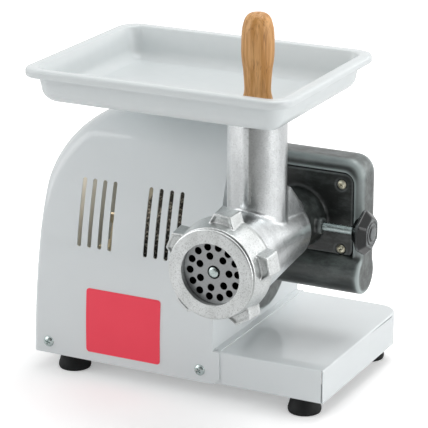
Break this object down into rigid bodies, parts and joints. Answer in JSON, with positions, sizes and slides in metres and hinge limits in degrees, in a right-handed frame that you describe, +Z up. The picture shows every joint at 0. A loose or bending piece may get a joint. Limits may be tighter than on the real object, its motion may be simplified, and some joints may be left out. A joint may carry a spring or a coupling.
{
  "type": "electric meat grinder",
  "caption": "Bench-top electric meat grinder: hooded motor, side worm gearbox, clamped cast grinding head with screw-on ring, feed tray and wooden pusher.",
  "frame": {"origin": "on the table, under the middle of the machine's bounding box", "axes": "+Z up, +Y away from the user, so the grinding head points to -Y; +X runs from the hood to the gearbox"},
  "size_m": [0.33, 0.296, 0.384],
  "materials": {
    "white_enamel": "semi-gloss powder coat",
    "white_plastic": "moulded polyethylene",
    "black_enamel": "satin black paint on a sand casting",
    "cast_aluminium": "tumbled casting",
    "zinc_steel": "bright zinc plate",
    "tool_steel": "ground",
    "tinned_iron": "tinned casting",
    "bronze": "machined",
    "lamination": "varnished laminations",
    "copper": "varnished enamelled wire",
    "beech": "turned, lightly oiled",
    "rubber": "moulded",
    "black_plastic": "moulded phenolic"
  },
  "bodies": {
    "machine": {"base_pan": "white_enamel", "hood": "white_enamel", "right_end_plate": "white_enamel", "rubber_feet": "rubber", "foot_screws": "zinc_steel", "hood_screws": "zinc_steel", "gearbox_housing": "black_enamel", "gearbox_cover": "black_enamel", "cover_screws": "zinc_steel", "worm_bearings": "tool_steel", "output_bushes": "bronze", "stator_core": "lamination", "stator_windings": "copper", "motor_front_shield": "cast_aluminium", "motor_rear_shield": "cast_aluminium", "motor_bearings": "tool_steel", "motor_bolts": "zinc_steel", "motor_saddle": "zinc_steel", "capacitor": "cast_aluminium", "capacitor_clip": "zinc_steel", "switch_frame": "black_plastic", "cable_gland": "black_plastic"},
    "rotor": {"worm_shaft": "tool_steel", "rotor_core": "tool_steel", "cooling_fan": "black_plastic"},
    "drive": {"worm_wheel": "bronze", "output_shaft": "tool_steel"},
    "head": {"head_casting": "cast_aluminium", "barrel_bush": "bronze", "perforated_plate": "tool_steel"},
    "auger": {"auger": "tinned_iron", "cutting_knife": "tool_steel"},
    "ring_nut": {"ring_nut": "cast_aluminium"},
    "tray": {"feed_tray": "white_plastic"},
    "pusher": {"wooden_pusher": "beech"},
    "clamp": {"clamp_stud": "zinc_steel", "clamp_knob": "black_plastic"},
    "rocker": {"switch_rocker": "black_plastic"}
  },
  "joints": [
    {"name": "head_slide", "type": "slide", "parent": "machine", "child": "head", "axis": [0, -1, 0], "range_m": [0, 0.08]},
    {"name": "nut_turn", "type": "hinge", "parent": "head", "child": "ring_nut", "pos_m": [0.08, -0.148, 0.168], "axis": [0, -1, 0], "range_deg": [0, 900]},
    {"name": "rotor_spin", "type": "hinge", "parent": "machine", "child": "rotor", "pos_m": [0, 0.05, 0.116], "axis": [1, 0, 0], "continuous": true},
    {"name": "drive_spin", "type": "hinge", "parent": "machine", "child": "drive", "pos_m": [0.08, 0, 0.168], "axis": [0, -1, 0], "continuous": true},
    {"name": "auger_spin", "type": "hinge", "parent": "head", "child": "auger", "pos_m": [0.08, 0, 0.168], "axis": [0, -1, 0], "continuous": true},
    {"name": "tray_lift", "type": "slide", "parent": "head", "child": "tray", "axis": [0, 0, 1], "range_m": [0, 0.05]},
    {"name": "pusher_lift", "type": "slide", "parent": "head", "child": "pusher", "axis": [0, 0, 1], "range_m": [0, 0.19]},
    {"name": "clamp_turn", "type": "hinge", "parent": "machine", "child": "clamp", "pos_m": [0.11, 0.02, 0.168], "axis": [1, 0, 0], "range_deg": [0, 630]},
    {"name": "rocker_tilt", "type": "hinge", "parent": "machine", "child": "rocker", "pos_m": [-0.12, 0.14242, 0.08], "axis": [1, 0, 0], "range_deg": [0, 16]}
  ],
  "couplings": [
    {"joint": "drive_spin", "follows": "rotor_spin", "ratio": 0.05},
    {"joint": "auger_spin", "follows": "rotor_spin", "ratio": 0.05}
  ]
}
